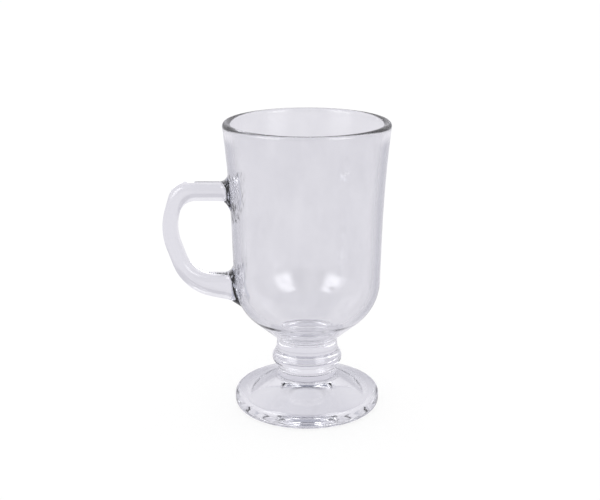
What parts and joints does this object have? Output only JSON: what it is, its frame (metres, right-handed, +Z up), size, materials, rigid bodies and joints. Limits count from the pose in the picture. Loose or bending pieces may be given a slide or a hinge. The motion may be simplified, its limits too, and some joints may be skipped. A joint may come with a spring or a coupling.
{
  "type": "irish coffee glass mug",
  "caption": "Tall footed glass mug for hot coffee drinks: flared bowl with a rounded lip, short knopped stem, sloping round foot and a looped side handle.",
  "frame": {"origin": "centre of the foot, on the plane it rests on", "axes": "+Z up along the axis of bowl, stem and foot; the handle points along -X; Y runs across the handle's width"},
  "size_m": [0.1068, 0.078, 0.139],
  "materials": {
    "bowl_glass": "clear, fire-polished",
    "handle_glass": "clear, fire-polished",
    "stem_glass": "clear, fire-polished",
    "foot_glass": "clear, with a worn resting ring"
  },
  "bodies": {
    "root": {"bowl": "bowl_glass", "handle": "handle_glass", "stem": "stem_glass", "foot": "foot_glass"}
  },
  "joints": []
}
